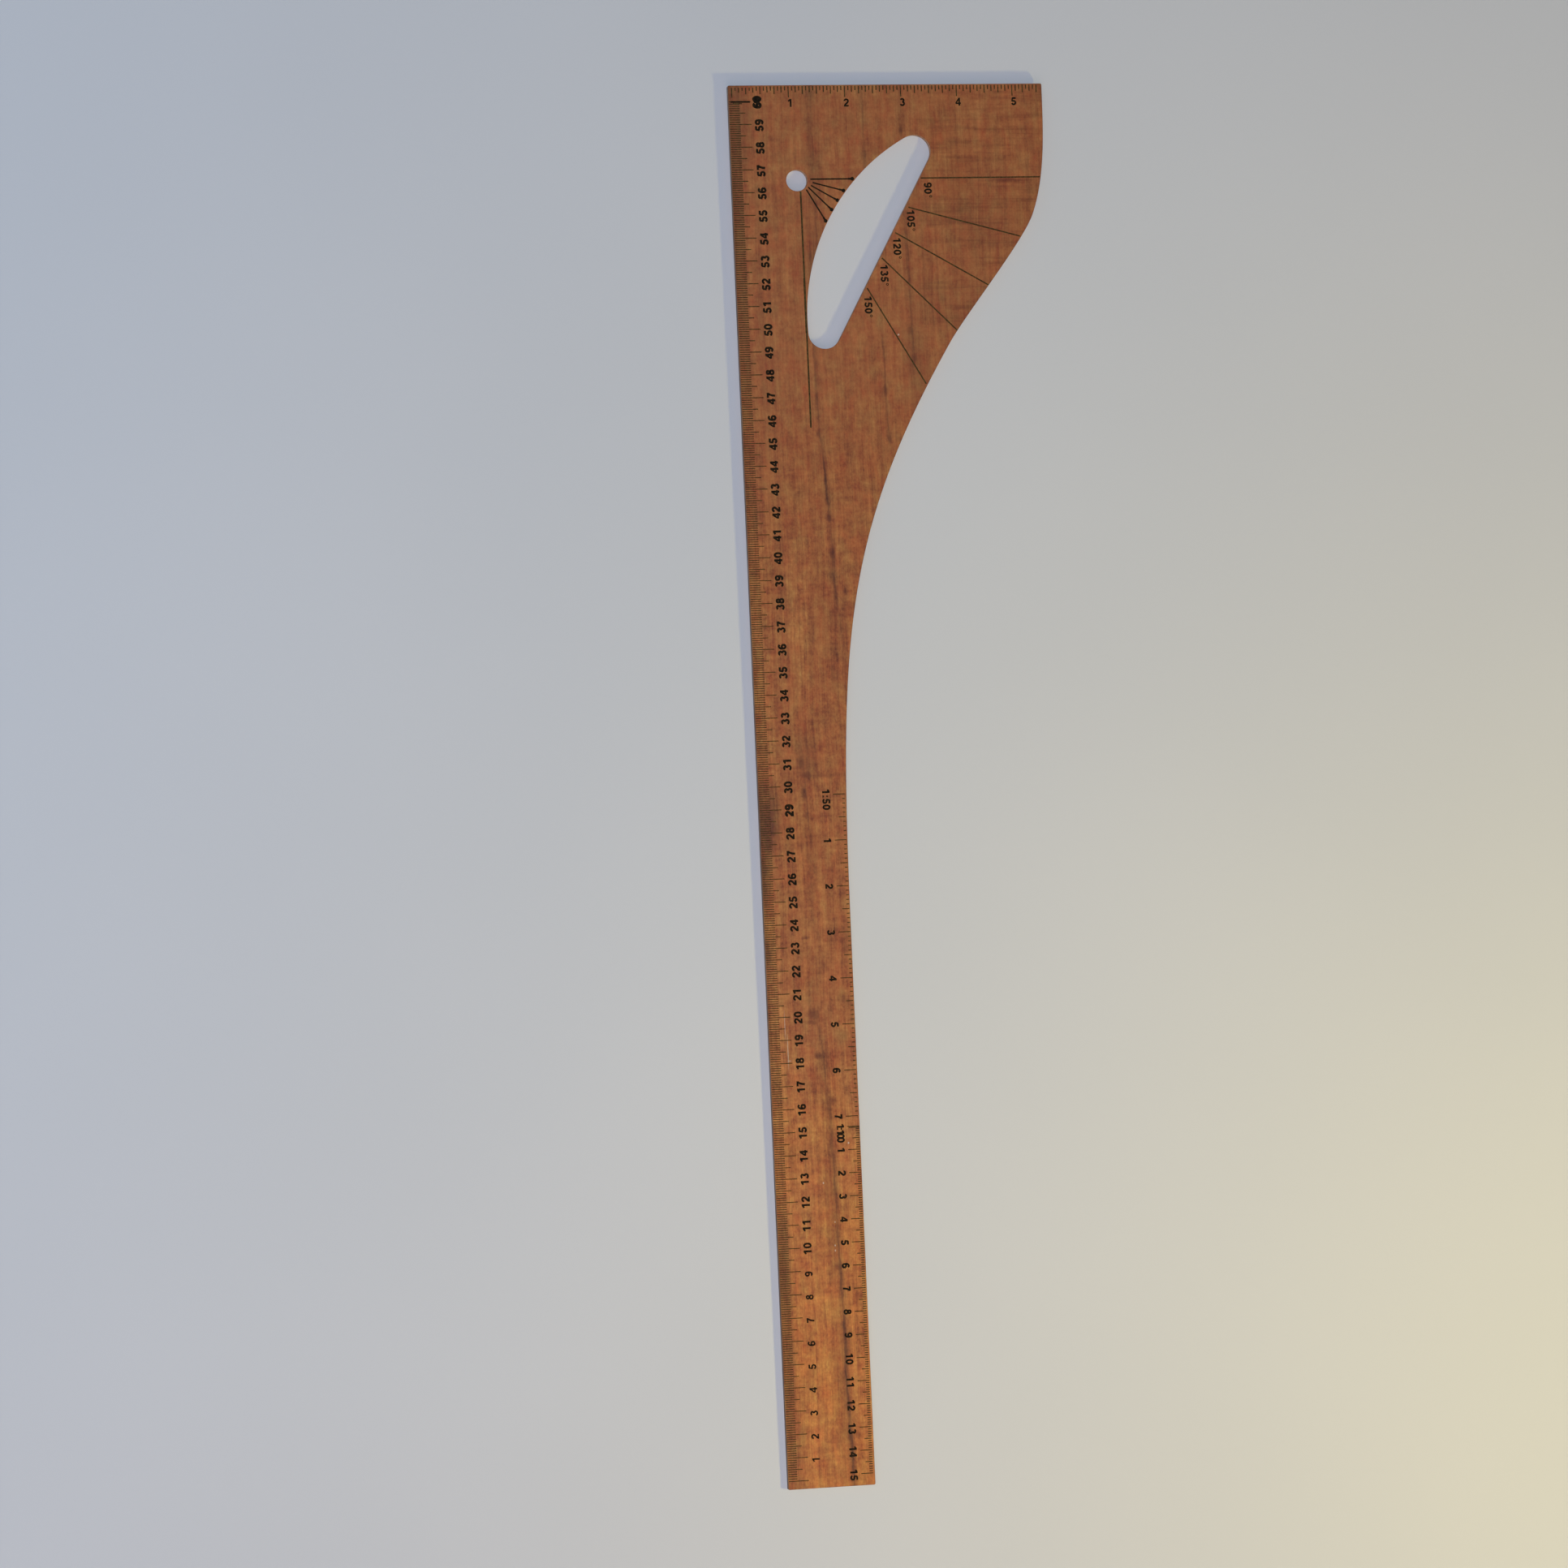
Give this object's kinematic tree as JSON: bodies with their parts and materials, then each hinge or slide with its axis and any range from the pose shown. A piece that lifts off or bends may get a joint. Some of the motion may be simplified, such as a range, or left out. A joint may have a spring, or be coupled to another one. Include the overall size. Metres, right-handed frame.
{
  "type": "t square",
  "caption": "One-piece flat wooden drawing square with a long ruling edge, a broad curved head, a finger slot and a hanging hole.",
  "frame": {"origin": "centre of the board's bounding box, on the surface it rests on", "axes": "+Z out of the marked face, +Y along the ruling edge from the stem's foot towards the head, +X from the ruling edge towards the head's curved side"},
  "size_m": [0.1412, 0.6108, 0.003],
  "materials": {
    "face_veneer": "satin lacquer",
    "core_ply": "raw laser-cut edge",
    "back_veneer": "sanded, thin lacquer"
  },
  "bodies": {
    "root": {"face_veneer": "face_veneer", "core_ply": "core_ply", "back_veneer": "back_veneer"}
  },
  "joints": []
}
